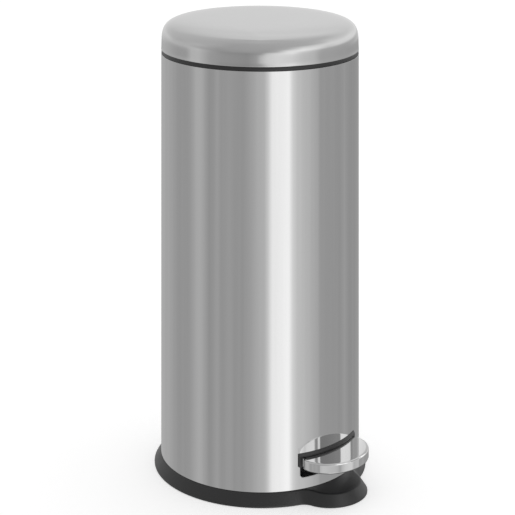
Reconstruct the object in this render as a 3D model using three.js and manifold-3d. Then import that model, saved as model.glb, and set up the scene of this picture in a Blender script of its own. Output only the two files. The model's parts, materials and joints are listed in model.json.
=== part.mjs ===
// Pedal bin, 30 litre class: a steel cylinder with a plastic foot ring, a domed steel lid on a rear hinge,
// and a pedal that lifts the lid through a lever under the bucket and a rod up the back.
// Millimetres, +Z up. The origin is on the floor, on the cylinder's axis. The pedal is at -Y and the
// hinge at +Y.
import * as THREE from 'three';
import { mergeVertices } from 'three/addons/utils/BufferGeometryUtils.js';
import Module from 'manifold-3d';

// ---- driving dimensions -------------------------------------------------------------------------
const SEGMENTS = 48;              // facets round every large circle
const GAP = 0.3;                  // between pieces that touch

const BODY_RADIUS = 145;
const BODY_SHEET = 0.6;
const BODY_BOTTOM = 17.9;
const BODY_TOP = 599.8;

const BASE_RADIUS = 154.9;
const BASE_EDGE = 3.5;            // height where the vertical edge turns into the flare
const BASE_TOP = 17.6;
const BASE_FLARE = 9.3;           // how far the skirt leans in from its edge to its top
const BASE_WALL = 2.5;
const BASE_FLOOR = 4;

const LOBE_CENTRE = 145.2;        // distance of the lobe's ellipse centre from the axis
const LOBE_HALF_WIDTH = 52.5;
const LOBE_DEPTH = 46.5;
const LOBE_FILLET = 20;
const PEDAL_CENTRE = 145.5;
const PEDAL_HALF_WIDTH = 56;
const PEDAL_DEPTH = 46.5;
const PEDAL_CORNER = 5;
const PEDAL_TOP = 61.9;
const PEDAL_RIM = 49;
const PEDAL_SHEET = 1.2;
const PEDAL_EDGE = 2.5;
const NECK_HALF_WIDTH = 50.5;
const NECK_REAR = 112;

const SLOT_HALF_WIDTH = 54.4;
const SLOT_BOTTOM = 33;
const SLOT_TOP = 64;
const SLOT_CORNER = 5;
const TRIM_HALF_WIDTH = 57.2;
const TRIM_WINDOW_HALF_WIDTH = 52;
const TRIM_BOTTOM = 48.8;
const TRIM_LINTEL = 62.3;
const TRIM_TOP = 67.3;
const TRIM_PROUD = 2.6;           // how far the trim's lower part stands off the body
const TRIM_LIP = 0.8;             // and its thin top edge
const TRIM_BAND = 0.8;            // upright part of the lintel's face, below the slope

const LID_BOTTOM = 605.9;
const LID_SHOULDER = 612.3;       // where the lid's straight wall ends
const LID_RISE = 38;
const LID_FLATNESS = 9.2;         // exponents of the dome's rounded shoulder
const LID_ROUNDNESS = 3.8;
const LID_SHEET = 0.6;

const RING_INNER = 127;
const RING_TOP = 605.6;
const BUCKET_TOP_RADIUS = 123.9;
const BUCKET_BOTTOM_RADIUS = 112;
const BUCKET_BOTTOM = 82;
const BUCKET_WALL = 2.2;
const BUCKET_FLANGE = 137;

const HINGE_Y = 150;
const HINGE_Z = 607;
const LID_OPEN = THREE.MathUtils.degToRad(80);
const PIVOT_Y = -45;
const PIVOT_Z = 45;
const ROD_X = -7;
const ROD_Y = 136;
const ROD_RADIUS = 2;

const BAIL_RADIUS = 108;
const BAIL_Z = 590;
const BAIL_WIRE = 2;
const GRIP_RADIUS = 6;

// The rod rises evenly as the lid turns. Its upper pin starts half the lid's swing below the hinge's level
// and ends as far above it, so the crank's slot points straight at the hinge at both ends of the swing.
const CRANK_REACH = HINGE_Y - ROD_Y;
const ROD_TRAVEL = 2 * CRANK_REACH * Math.tan(LID_OPEN / 2);
const ROD_TOP_Z = HINGE_Z - ROD_TRAVEL / 2;
const LEVER_REACH = ROD_Y - PIVOT_Y;

// ---- materials ----------------------------------------------------------------------------------
const steel = (color, roughness) => new THREE.MeshStandardMaterial({ color, roughness, metalness: 1 });
const plastic = (color, roughness) => new THREE.MeshStandardMaterial({ color, roughness, metalness: 0 });
const POLISHED_STEEL = steel(0xc9c9cb, 0.12);
const BRUSHED_STEEL = steel(0xbfc0c2, 0.3);
const ZINC_STEEL = steel(0xa9acae, 0.4);
const BLACK_PLASTIC = plastic(0x1d1f22, 0.5);
const BUCKET_PLASTIC = plastic(0x2b2d30, 0.55);
const RUBBER = plastic(0x161616, 0.85);

// ---- solids -------------------------------------------------------------------------------------
const wasm = await Module();
wasm.setup();

const bin = new THREE.Group();

// A geometry's positions alone, with shared vertices merged and triangles without area left out.
function welded(geometry) {
  const bare = geometry.clone();
  bare.deleteAttribute('normal');
  bare.deleteAttribute('uv');
  const merged = mergeVertices(bare, 1e-4);
  const corners = merged.index.array;
  const kept = [];
  for (let i = 0; i < corners.length; i += 3) {
    const [a, b, c] = corners.slice(i, i + 3);
    if (a !== b && b !== c && c !== a) kept.push(a, b, c);
  }
  merged.setIndex(kept);
  return merged;
}

function solid(geometry) {
  const mesh = welded(geometry);
  const vertProperties = new Float32Array(mesh.attributes.position.array);
  const triVerts = new Uint32Array(mesh.index.array);
  return new wasm.Manifold(new wasm.Mesh({ numProp: 3, vertProperties, triVerts }));
}

function geometryOf(manifold) {
  const mesh = manifold.getMesh();
  const geometry = new THREE.BufferGeometry();
  geometry.setAttribute('position', new THREE.BufferAttribute(new Float32Array(mesh.vertProperties), 3));
  geometry.setIndex(new THREE.BufferAttribute(new Uint32Array(mesh.triVerts), 1));
  return geometry;
}

const joined = (first, ...others) => others.reduce((whole, other) => whole.add(other), first);
const cut = (first, ...others) => others.reduce((whole, other) => whole.subtract(other), first);

function place(name, shape, material) {
  const geometry = shape instanceof THREE.BufferGeometry ? welded(shape) : geometryOf(shape);
  geometry.computeVertexNormals();
  const mesh = new THREE.Mesh(geometry, material);
  mesh.name = name;
  bin.add(mesh);
  return mesh;
}

// A body of revolution about the Z axis: the profile is [radius, height] pairs, outer face upwards.
function turned(profile, segments = SEGMENTS) {
  const points = profile.map(([radius, height]) => new THREE.Vector2(radius, height));
  return new THREE.LatheGeometry(points, segments).rotateX(Math.PI / 2);
}

// A closed ring section of revolution: the profile returns to its first point.
const turnedRing = (profile, segments) => turned([...profile, profile[0]], segments);

const disc = (radius, bottom, top, segments) =>
  turned([[0, bottom], [radius, bottom], [radius, top], [0, top]], segments);

function box(x0, x1, y0, y1, z0, z1) {
  const geometry = new THREE.BoxGeometry(x1 - x0, y1 - y0, z1 - z0);
  return geometry.translate((x0 + x1) / 2, (y0 + y1) / 2, (z0 + z1) / 2);
}

// A round bar along X, between x0 and x1, with its axis through y and z.
function barX(radius, x0, x1, y, z, segments = 16) {
  return disc(radius, x0, x1, segments).rotateY(Math.PI / 2).translate(0, y, z);
}

// A round bar along Y, between y0 and y1.
function barY(radius, y0, y1, x, z, segments = 10) {
  return disc(radius, y0, y1, segments).rotateX(-Math.PI / 2).translate(x, 0, z);
}

// A solid through outlines of equal length stacked at rising heights, closed at both ends.
function stacked(layers) {
  const count = layers[0].outline.length;
  const positions = layers.flatMap(({ outline, z }) => outline.flatMap((point) => [point.x, point.y, z]));
  const faces = [];
  for (let layer = 0; layer + 1 < layers.length; layer += 1) {
    for (let i = 0; i < count; i += 1) {
      const a = layer * count + i;
      const b = layer * count + ((i + 1) % count);
      faces.push(a, b, b + count, a, b + count, a + count);
    }
  }
  const lid = THREE.ShapeUtils.triangulateShape(layers[0].outline, []);
  const top = (layers.length - 1) * count;
  for (const [a, b, c] of lid) {
    faces.push(a, c, b);
    faces.push(top + a, top + b, top + c);
  }
  const geometry = new THREE.BufferGeometry();
  geometry.setAttribute('position', new THREE.BufferAttribute(new Float32Array(positions), 3));
  geometry.setIndex(faces);
  return geometry;
}

function arc(cx, cy, rx, ry, from, to, steps) {
  const points = [];
  for (let i = 0; i <= steps; i += 1) {
    const angle = from + ((to - from) * i) / steps;
    points.push(new THREE.Vector2(cx + rx * Math.cos(angle), cy + ry * Math.sin(angle)));
  }
  return points;
}

const mirrored = (points) => points.map((point) => new THREE.Vector2(-point.x, point.y)).reverse();

// A screw pointing along +Z with its head's underside at height 0.
function screw(headRadius, headHeight, shankRadius, length) {
  return turned([[0, -headHeight], [headRadius * 0.7, -headHeight], [headRadius, 0], [shankRadius, 0],
    [shankRadius, length], [0, length]], 10);
}

const SCREW_HOLE = 1.8;           // clears the small screws' and rivets' shanks
const screwHole = (x, y, bottom, top) => solid(disc(SCREW_HOLE, bottom, top, 10).translate(x, y, 0));

// ---- base, its pads and the pedal mechanism's supports --------------------------------------------

// The base's outline, moved in by `inset`: a circle, and in front of it a lobe that is half an ellipse.
// A concave fillet joins them: its circle touches both, and `tangent` is where on the ellipse.
function baseOutline(inset) {
  const radius = BASE_RADIUS - inset;
  const a = LOBE_HALF_WIDTH - inset;
  const b = LOBE_DEPTH - inset;
  const fillet = LOBE_FILLET + inset;
  const filletCentre = (angle) => {
    const normal = new THREE.Vector2(Math.cos(angle) / a, Math.sin(angle) / b).normalize();
    const onEllipse = new THREE.Vector2(a * Math.cos(angle), b * Math.sin(angle) - LOBE_CENTRE);
    return onEllipse.addScaledVector(normal, fillet);
  };
  let low = -0.8;
  let high = 0;
  for (let i = 0; i < 40; i += 1) {
    const middle = (low + high) / 2;
    if (filletCentre(middle).length() > radius + fillet) low = middle;
    else high = middle;
  }
  const tangent = low;
  const centre = filletCentre(tangent);
  const toCircle = Math.atan2(-centre.y, -centre.x);
  const touch = new THREE.Vector2(a * Math.cos(tangent), b * Math.sin(tangent) - LOBE_CENTRE).sub(centre);
  const toEllipse = Math.atan2(touch.y, touch.x);
  const filletEnd = toEllipse > 0 ? toEllipse - 2 * Math.PI : toEllipse;
  const front = arc(0, -LOBE_CENTRE, a, b, -Math.PI / 2, tangent, 9).slice(1);
  const side = arc(centre.x, centre.y, fillet, fillet, filletEnd, toCircle - 2 * Math.PI, 3).slice(1);
  const back = arc(0, 0, radius, radius, toCircle - Math.PI, Math.PI / 2, 20).slice(1, -1);
  const right = [...front, ...side, ...back];
  const tip = new THREE.Vector2(0, -LOBE_CENTRE - b);
  return [tip, ...right, new THREE.Vector2(0, radius), ...mirrored(right)];
}

const PAD_RADIUS = 9;
const PAD_PLACES = [[95, 95], [-95, 95], [-95, -95], [95, -95], [0, -172]];
const PAD_DEPTH = 2;

function addBase() {
  const layer = (inset, z) => ({ outline: baseOutline(inset), z });
  const outside = solid(stacked([layer(0, 0), layer(0, BASE_EDGE), layer(BASE_FLARE, BASE_TOP)]));
  const innerRadius = BASE_RADIUS - BASE_FLARE - BASE_WALL;
  const inside = solid(disc(innerRadius - 2, BASE_FLOOR, BASE_TOP + 20));
  const spigotOuter = BODY_RADIUS - BODY_SHEET - GAP;
  const spigot = solid(turnedRing([[spigotOuter - BASE_WALL, BASE_TOP - 2], [spigotOuter, BASE_TOP - 2],
    [spigotOuter, SLOT_BOTTOM - 2], [spigotOuter - BASE_WALL, SLOT_BOTTOM - 2]]));
  const floorDisc = solid(disc(innerRadius - 1, 0, BASE_FLOOR));
  let base = joined(cut(outside, inside), spigot, floorDisc);
  for (const [x, y] of PAD_PLACES) {
    base = base.subtract(solid(disc(PAD_RADIUS + GAP, -1, PAD_DEPTH + GAP, 16).translate(x, y, 0)));
  }
  for (const [x, y] of SCREW_PLACES) base = base.subtract(screwHole(x, y, -1, 10));
  for (const [x, y] of SCREW_PLACES) base = base.subtract(solid(disc(4.4, -1, 2.7, 10).translate(x, y, 0)));
  place('base', base, BLACK_PLASTIC);
  PAD_PLACES.forEach(([x, y], i) => {
    place(`foot_pad_${i + 1}`, disc(PAD_RADIUS, 0, PAD_DEPTH, 16).translate(x, y, 0), RUBBER);
  });
}

const BRACKET_INNER = 15.7;
const BRACKET_SHEET = 3;
const BRACKET_FOOT = 34;
const AXLE_RADIUS = 4;
const SCREW_PLACES = [[27, -57], [27, -33], [-27, -57], [-27, -33]];

function addPivot() {
  const floor = BASE_FLOOR + GAP;
  const cheekOuter = BRACKET_INNER + BRACKET_SHEET;
  const cheek = new THREE.Shape([
    new THREE.Vector2(-66, floor), new THREE.Vector2(-24, floor),
    ...arc(PIVOT_Y, PIVOT_Z, 10, 10, 0, Math.PI, 8),
  ]);
  for (const [side, name] of [[1, 'right'], [-1, 'left']]) {
    const flat = new THREE.ExtrudeGeometry(cheek, { depth: BRACKET_SHEET, bevelEnabled: false });
    const upright = flat.rotateX(Math.PI / 2).rotateZ(Math.PI / 2);
    const x0 = side > 0 ? BRACKET_INNER : -cheekOuter;
    const foot = side > 0 ? box(x0, BRACKET_FOOT, -66, -24, floor, floor + BRACKET_SHEET)
      : box(-BRACKET_FOOT, x0 + BRACKET_SHEET, -66, -24, floor, floor + BRACKET_SHEET);
    let bracket = joined(solid(upright.translate(x0, 0, 0)), solid(foot));
    bracket = bracket.subtract(solid(barX(AXLE_RADIUS + GAP, -50, 50, PIVOT_Y, PIVOT_Z)));
    for (const [x, y] of SCREW_PLACES) bracket = bracket.subtract(screwHole(x, y, -1, 12));
    place(`pivot_bracket_${name}`, bracket, ZINC_STEEL);
    const clipInner = side > 0 ? cheekOuter + GAP : -cheekOuter - GAP - 1.5;
    const clip = cut(solid(barX(7, clipInner, clipInner + 1.5, PIVOT_Y, PIVOT_Z)),
      solid(barX(AXLE_RADIUS + GAP, -50, 50, PIVOT_Y, PIVOT_Z)));
    place(`axle_clip_${name}`, clip, ZINC_STEEL);
  }
  place('pedal_axle', barX(AXLE_RADIUS, -24, 24, PIVOT_Y, PIVOT_Z), ZINC_STEEL);
  SCREW_PLACES.forEach(([x, y], i) => {
    place(`bracket_screw_${i + 1}`, screw(4, 1.2, 1.5, 6).translate(x, y, 2.6), ZINC_STEEL);
  });
}

// ---- steel body, its rim ring and the trim round the pedal's slot ------------------------------------

const HINGE_SCREWS = [[26, 566], [26, 588], [-26, 566], [-26, 588]];
const GUIDE_HEIGHTS = [['lower', 200], ['upper', 470]];
const CRANK_NOTCH = 13;

function addBody() {
  const inner = BODY_RADIUS - BODY_SHEET;
  let body = solid(turnedRing([[inner, BODY_BOTTOM], [BODY_RADIUS, BODY_BOTTOM], [BODY_RADIUS, BODY_TOP],
    [inner, BODY_TOP]]));
  const cornerX = SLOT_HALF_WIDTH - SLOT_CORNER;
  const cornerZ = SLOT_BOTTOM + SLOT_CORNER;
  const slot = new THREE.Shape([
    new THREE.Vector2(SLOT_HALF_WIDTH, SLOT_TOP), new THREE.Vector2(-SLOT_HALF_WIDTH, SLOT_TOP),
    ...arc(-cornerX, cornerZ, SLOT_CORNER, SLOT_CORNER, Math.PI, 1.5 * Math.PI, 3),
    ...arc(cornerX, cornerZ, SLOT_CORNER, SLOT_CORNER, 1.5 * Math.PI, 2 * Math.PI, 3),
  ]);
  const slotCut = new THREE.ExtrudeGeometry(slot, { depth: 60, bevelEnabled: false });
  body = body.subtract(solid(slotCut.rotateX(Math.PI / 2).translate(0, -100, 0)));
  body = body.subtract(solid(box(-CRANK_NOTCH, CRANK_NOTCH, 120, 160, 586, BODY_TOP + 1)));
  for (const [x, z] of HINGE_SCREWS) body = body.subtract(solid(barY(2.3, 130, 160, x, z)));
  for (const [, z] of GUIDE_HEIGHTS) body = body.subtract(solid(barY(SCREW_HOLE, 130, 160, ROD_X, z)));
  place('outer_body', body, BRUSHED_STEEL);
}

function addRing() {
  const skirt = BODY_RADIUS - BODY_SHEET - GAP;
  const band = BODY_TOP + GAP;
  const ring = solid(turnedRing([[RING_INNER, band], [skirt - 2.6, band], [skirt - 2.6, 586], [skirt, 586],
    [skirt, band], [BODY_RADIUS - 0.3, band], [BODY_RADIUS - 0.3, RING_TOP], [RING_INNER, RING_TOP]]));
  const notch = solid(box(-CRANK_NOTCH - 1, CRANK_NOTCH + 1, 110, 160, 570, 620));
  const screws = solid(box(-31, 31, 120, 160, 570, band - 2));
  place('rim_ring', cut(ring, notch, screws), BLACK_PLASTIC);
}

function addTrim() {
  const inner = BODY_RADIUS + GAP;
  const outer = BODY_RADIUS + TRIM_PROUD;
  const hoop = solid(turnedRing([[inner, TRIM_BOTTOM - 5], [outer, TRIM_BOTTOM - 5],
    [outer, TRIM_LINTEL + TRIM_BAND], [BODY_RADIUS + TRIM_LIP, TRIM_TOP], [inner, TRIM_TOP]]));
  const half = TRIM_HALF_WIDTH;
  const window = TRIM_WINDOW_HALF_WIDTH;
  const chamfer = 1;
  const frame = new THREE.Shape([
    new THREE.Vector2(window, TRIM_BOTTOM), new THREE.Vector2(half - chamfer, TRIM_BOTTOM),
    new THREE.Vector2(half, TRIM_BOTTOM + chamfer), new THREE.Vector2(half, TRIM_TOP + 1),
    new THREE.Vector2(-half, TRIM_TOP + 1), new THREE.Vector2(-half, TRIM_BOTTOM + chamfer),
    new THREE.Vector2(chamfer - half, TRIM_BOTTOM), new THREE.Vector2(-window, TRIM_BOTTOM),
    new THREE.Vector2(-window, TRIM_LINTEL), new THREE.Vector2(window, TRIM_LINTEL),
  ]);
  const block = new THREE.ExtrudeGeometry(frame, { depth: 60, bevelEnabled: false });
  block.rotateX(Math.PI / 2).translate(0, -100, 0);
  place('pedal_trim', hoop.intersect(solid(block)), BLACK_PLASTIC);
}

// ---- pedal and its lever ---------------------------------------------------------------------------

// The pedal's outline, moved in by `inset`: an ellipse's front half, round rear corners and a narrower neck.
function pedalOutline(inset) {
  const halfWidth = PEDAL_HALF_WIDTH - inset;
  const depth = PEDAL_DEPTH - inset;
  const radius = PEDAL_CORNER - inset;
  const front = arc(0, -PEDAL_CENTRE, halfWidth, depth, -Math.PI / 2, 0, 10).slice(1);
  const shoulder = arc(halfWidth - radius, -PEDAL_CENTRE, radius, radius, 0, Math.PI / 2, 3).slice(1);
  const neckFront = PEDAL_CORNER + 1.5 - PEDAL_CENTRE;
  const neck = [new THREE.Vector2(NECK_HALF_WIDTH - inset, neckFront - inset),
    new THREE.Vector2(NECK_HALF_WIDTH - inset, -NECK_REAR - inset)];
  const right = [...front, ...shoulder, ...neck];
  return [new THREE.Vector2(0, -PEDAL_CENTRE - depth), ...right, ...mirrored(right)];
}

const LEVER_HALF = 2;
const PLATE_HALF = 20;
const PLATE_BOTTOM = 51.7;
const PLATE_SHEET = 3;
const PEDAL_SCREWS = [-132, -160];

function addPedal() {
  const layer = (inset, z) => ({ outline: pedalOutline(inset), z });
  const cover = cut(
    solid(stacked([layer(0, PEDAL_RIM), layer(0, PEDAL_TOP - PEDAL_EDGE),
      layer(PEDAL_EDGE * (1 - Math.SQRT1_2), PEDAL_TOP - PEDAL_EDGE * (1 - Math.SQRT1_2)),
      layer(PEDAL_EDGE, PEDAL_TOP)])),
    solid(stacked([layer(PEDAL_SHEET, PEDAL_RIM - 1), layer(PEDAL_SHEET, PEDAL_TOP - PEDAL_EDGE),
      layer(PEDAL_EDGE, PEDAL_TOP - PEDAL_SHEET)])),
    solid(box(-PLATE_HALF - 2, PLATE_HALF + 2, -NECK_REAR - 3, -NECK_REAR + 3, PEDAL_RIM - 1, 56)),
  );
  place('pedal_cover', cover, POLISHED_STEEL);

  const coreInset = PEDAL_EDGE + GAP;
  const coreBottom = PLATE_BOTTOM + PLATE_SHEET + GAP;
  let core = solid(stacked([layer(coreInset, coreBottom), layer(coreInset, PEDAL_TOP - PEDAL_SHEET - GAP)]));
  for (const y of PEDAL_SCREWS) core = core.subtract(screwHole(0, y, 40, PEDAL_TOP - 2.5));
  place('pedal_core', core, BLACK_PLASTIC);

  // The lever is a web on edge from the slot to the rod, a plate under the pedal and a hub on the axle.
  const web = solid(box(-LEVER_HALF, LEVER_HALF, -126, ROD_Y + 7.6, PIVOT_Z - 7, PIVOT_Z + 7));
  const plate = solid(box(-PLATE_HALF, PLATE_HALF, -170, -64, PLATE_BOTTOM, PLATE_BOTTOM + PLATE_SHEET));
  const hub = solid(barX(9, -BRACKET_INNER + GAP, BRACKET_INNER - GAP, PIVOT_Y, PIVOT_Z, 20));
  const bore = solid(barX(AXLE_RADIUS + GAP, -50, 50, PIVOT_Y, PIVOT_Z));
  const endSlot = Math.hypot(LEVER_REACH, ROD_TRAVEL) - LEVER_REACH;
  const slotPlay = 0.5;
  const rodSlot = solid(box(-9, 9, ROD_Y - ROD_RADIUS - slotPlay, ROD_Y + endSlot + ROD_RADIUS + slotPlay,
    PIVOT_Z - ROD_RADIUS - slotPlay, PIVOT_Z + ROD_RADIUS + slotPlay));
  let lever = cut(joined(web, plate, hub), bore, rodSlot);
  for (const y of PEDAL_SCREWS) lever = lever.subtract(screwHole(0, y, 40, 58));
  place('pedal_lever', lever, ZINC_STEEL);
  PEDAL_SCREWS.forEach((y, i) => {
    const fastener = screw(4, 1.6, 1.5, 6.5).translate(0, y, PLATE_BOTTOM - GAP);
    place(`pedal_screw_${i + 1}`, fastener, ZINC_STEEL);
  });
}

// ---- lift rod --------------------------------------------------------------------------------------

function addRod() {
  const pinEnd = 6;
  const elbow = new THREE.SphereGeometry(ROD_RADIUS, 12, 8);
  const rod = joined(
    solid(disc(ROD_RADIUS, PIVOT_Z, ROD_TOP_Z, 12).translate(ROD_X, ROD_Y, 0)),
    ...[PIVOT_Z, ROD_TOP_Z].map((z) => solid(barX(ROD_RADIUS, ROD_X, pinEnd, ROD_Y, z, 12))),
    ...[PIVOT_Z, ROD_TOP_Z].map((z) => solid(elbow.clone().translate(ROD_X, ROD_Y, z))),
  );
  place('lift_rod', rod, ZINC_STEEL);
  for (const [name, z] of [['bottom', PIVOT_Z], ['top', ROD_TOP_Z]]) {
    const clip = cut(solid(barX(4.2, 3.2, 4.4, ROD_Y, z)), solid(barX(ROD_RADIUS + GAP, 0, 9, ROD_Y, z)));
    place(`rod_clip_${name}`, clip, ZINC_STEEL);
  }
  for (const [name, z] of GUIDE_HEIGHTS) {
    const wall = solid(disc(BODY_RADIUS - BODY_SHEET - GAP, z - 20, z + 20));
    const block = solid(box(ROD_X - 8, ROD_X + 8, ROD_Y - 5, 160, z - 6, z + 6)).intersect(wall);
    const bore = solid(disc(ROD_RADIUS + GAP, z - 20, z + 20, 16).translate(ROD_X, ROD_Y, 0));
    const rivetHole = solid(barY(SCREW_HOLE, 138.6, 160, ROD_X, z));
    place(`rod_guide_${name}`, cut(block, bore, rivetHole), BLACK_PLASTIC);
    const rivet = screw(3.6, 1.2, 1.5, 5.8).rotateX(Math.PI / 2).translate(ROD_X, BODY_RADIUS + GAP, z);
    place(`guide_rivet_${name}`, rivet, ZINC_STEEL);
  }
}

// ---- rear hinge --------------------------------------------------------------------------------------

const KNUCKLE_HALF = 12;
const KNUCKLE_RADIUS = 6;
const EAR_HALF = 20;
const EAR_RADIUS = 7;
const PIN_RADIUS = 2.5;
const HOUSING_HALF = 34;

function addHinge() {
  const back = HINGE_Y + EAR_RADIUS;
  const block = solid(box(-HOUSING_HALF, HOUSING_HALF, 130, back, 556, 597));
  const ears = joined(solid(box(-EAR_HALF, EAR_HALF, 130, back, 590, HINGE_Z)),
    solid(barX(EAR_RADIUS, -EAR_HALF, EAR_HALF, HINGE_Y, HINGE_Z, 20)));
  const bodyClear = solid(disc(BODY_RADIUS + GAP, 500, 700));
  const knuckleRoom = solid(box(-KNUCKLE_HALF - GAP, KNUCKLE_HALF + GAP, 130, 170, 592, 630));
  const pinHole = solid(barX(PIN_RADIUS + GAP, -60, 60, HINGE_Y, HINGE_Z));
  let housing = cut(joined(block, ears), bodyClear, knuckleRoom, pinHole);
  for (const [x, z] of HINGE_SCREWS) housing = housing.subtract(solid(barY(2.3, 120, 170, x, z)));
  place('hinge_housing', housing, BLACK_PLASTIC);
  place('hinge_pin', barX(PIN_RADIUS, -EAR_HALF - 1, EAR_HALF + 1, HINGE_Y, HINGE_Z, 16), ZINC_STEEL);
  HINGE_SCREWS.forEach(([x, z], i) => {
    const fastener = screw(4.2, 2, 2, back - 139).rotateX(Math.PI / 2).translate(x, back + GAP, z);
    place(`hinge_screw_${i + 1}`, fastener, ZINC_STEEL);
  });
}

// ---- lid ---------------------------------------------------------------------------------------------

// The dome's height above the shoulder line at a radius, for a dome of outer radius `reach`.
const domeHeight = (radius, reach, rise) =>
  rise * (1 - (radius / reach) ** LID_FLATNESS) ** (1 / LID_ROUNDNESS);

// Points down the dome's face, from the axis to the wall, closer together round the shoulder.
function dome(reach, rise, base) {
  const shares = [0, 0.68, 0.83, 0.91, 0.955, 0.983, 0.996];
  const point = (share) => [share * reach, base + domeHeight(share * reach, reach, rise)];
  return [...shares.map(point), [reach, base]];
}

const NOTCH_HALF = 21.5;
const NOTCH_TOP = 617;
const LINER_WALL = 1.8;
const LINER_BOTTOM = 609;
const BUFFER_RADIUS = 1.9;
const BUFFER_BEARINGS = [-90, 35, 145];

function addLid() {
  const inner = BODY_RADIUS - LID_SHEET;
  const notch = solid(box(-NOTCH_HALF, NOTCH_HALF, 120, 170, 600, NOTCH_TOP));
  const shell = solid(turned([
    ...dome(inner, LID_RISE - LID_SHEET, LID_SHOULDER), [inner, LID_BOTTOM],
    [BODY_RADIUS + 0.7, LID_BOTTOM], [BODY_RADIUS + 0.7, LID_BOTTOM + 1], [BODY_RADIUS, LID_BOTTOM + 1.7],
    ...dome(BODY_RADIUS, LID_RISE, LID_SHOULDER).reverse()]));
  place('lid_shell', cut(shell, notch), BRUSHED_STEEL);

  const linerOuter = inner - GAP;
  const linerInner = linerOuter - LINER_WALL;
  const liner = solid(turned([
    ...dome(linerInner, LID_RISE - LID_SHEET - GAP - LINER_WALL, LID_SHOULDER), [linerInner, LINER_BOTTOM],
    [linerOuter, LINER_BOTTOM], ...dome(linerOuter, LID_RISE - LID_SHEET - GAP, LID_SHOULDER).reverse()]));
  const bracketHole = (x) => solid(barY(SCREW_HOLE, 120, linerOuter + 1, x, BRACKET_SCREW_Z));
  place('lid_liner', cut(liner, notch, ...BRACKET_SCREWS.map(bracketHole)), BLACK_PLASTIC);

  const middle = linerOuter - BUFFER_RADIUS - 0.6;
  for (const [i, angle] of BUFFER_BEARINGS.entries()) {
    const turn = THREE.MathUtils.degToRad(angle);
    const buffer = disc(BUFFER_RADIUS, LID_BOTTOM, LINER_BOTTOM - GAP, 12);
    buffer.translate(middle * Math.cos(turn), middle * Math.sin(turn), 0);
    place(`lid_buffer_${i + 1}`, buffer, RUBBER);
  }
}

const BRACKET_SCREWS = [7, -7];
const BRACKET_SCREW_Z = 620;
const UPRIGHT_FACE = 136.8;       // front of the bracket's upright, which stands inside the liner's wall

function addLidBracket() {
  const playAcross = 0.4;
  const wander = 0.95;            // the pin strays this far to each side of the slot's centre line
  const slotHalf = ROD_RADIUS + wander + playAcross;
  const nearest = CRANK_REACH - ROD_RADIUS - playAcross;
  const farthest = CRANK_REACH / Math.cos(LID_OPEN / 2) + ROD_RADIUS + playAcross;
  const rim = 2.4;
  const tip = farthest - slotHalf;
  // The crank is drawn pointing forwards from the hinge and then turned down by half the lid's swing.
  const plate = joined(
    solid(box(-LEVER_HALF, LEVER_HALF, -tip, 0, -slotHalf - rim, slotHalf + rim)),
    solid(barX(slotHalf + rim, -LEVER_HALF, LEVER_HALF, -tip, 0)));
  const slot = joined(
    solid(box(-9, 9, -tip, -nearest, -slotHalf, slotHalf)),
    solid(barX(slotHalf, -9, 9, -tip, 0)));
  const knuckle = solid(barX(KNUCKLE_RADIUS, -KNUCKLE_HALF, KNUCKLE_HALF, 0, 0, 20));
  const toHinge = (manifold, turn = 0) => {
    const shape = geometryOf(manifold).rotateX(turn);
    return solid(shape.translate(0, HINGE_Y, HINGE_Z));
  };
  const turnDown = (manifold) => toHinge(manifold, LID_OPEN / 2);
  const arm = solid(box(-KNUCKLE_HALF, KNUCKLE_HALF, UPRIGHT_FACE, HINGE_Y, HINGE_Z, HINGE_Z + 5));
  const upright = solid(box(-KNUCKLE_HALF, KNUCKLE_HALF, UPRIGHT_FACE, UPRIGHT_FACE + 3, HINGE_Z, 627));
  const bore = solid(barX(PIN_RADIUS + GAP, -50, 50, HINGE_Y, HINGE_Z));
  const holes = BRACKET_SCREWS.map((x) => solid(barY(SCREW_HOLE, 120, 160, x, BRACKET_SCREW_Z)));
  const crank = turnDown(cut(plate, slot));
  const hub = toHinge(knuckle);
  place('lid_bracket', cut(joined(crank, hub, arm, upright), bore, turnDown(slot), ...holes), ZINC_STEEL);
  BRACKET_SCREWS.forEach((x, i) => {
    const fastener = screw(3.6, 1.6, 1.5, 5.6).rotateX(-Math.PI / 2).translate(x, 0, BRACKET_SCREW_Z);
    place(`lid_bracket_screw_${i + 1}`, fastener.translate(0, UPRIGHT_FACE - GAP, 0), ZINC_STEEL);
  });
}

// ---- inner bucket and its bail -----------------------------------------------------------------------

function addBucket() {
  const flangeBottom = RING_TOP + GAP;
  const flangeTop = flangeBottom + 2.2;
  let bucket = solid(turned([[0, BUCKET_BOTTOM], [BUCKET_BOTTOM_RADIUS, BUCKET_BOTTOM],
    [BUCKET_TOP_RADIUS, flangeBottom], [BUCKET_FLANGE, flangeBottom], [BUCKET_FLANGE, flangeTop],
    [BUCKET_TOP_RADIUS - BUCKET_WALL, flangeTop],
    [BUCKET_BOTTOM_RADIUS - BUCKET_WALL, BUCKET_BOTTOM + 2.4], [0, BUCKET_BOTTOM + 2.4]]));
  bucket = bucket.subtract(solid(box(-CRANK_NOTCH - 1.5, CRANK_NOTCH + 1.5, 125.6, 160, 600, 615)));
  bucket = bucket.subtract(solid(barX(BAIL_WIRE + GAP, -140, 140, 0, BAIL_Z, 16)));
  place('inner_bucket', bucket, BUCKET_PLASTIC);
}

// The semicircle that the bail hangs in, with its centre on the bail's own axis.
class HangingArc extends THREE.Curve {
  constructor(radius, halfAngle) {
    super();
    this.radius = radius;
    this.halfAngle = halfAngle;
  }

  getPoint(share, target = new THREE.Vector3()) {
    const angle = (2 * share - 1) * this.halfAngle;
    return target.set(this.radius * Math.sin(angle), 0, BAIL_Z - this.radius * Math.cos(angle));
  }
}

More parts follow.
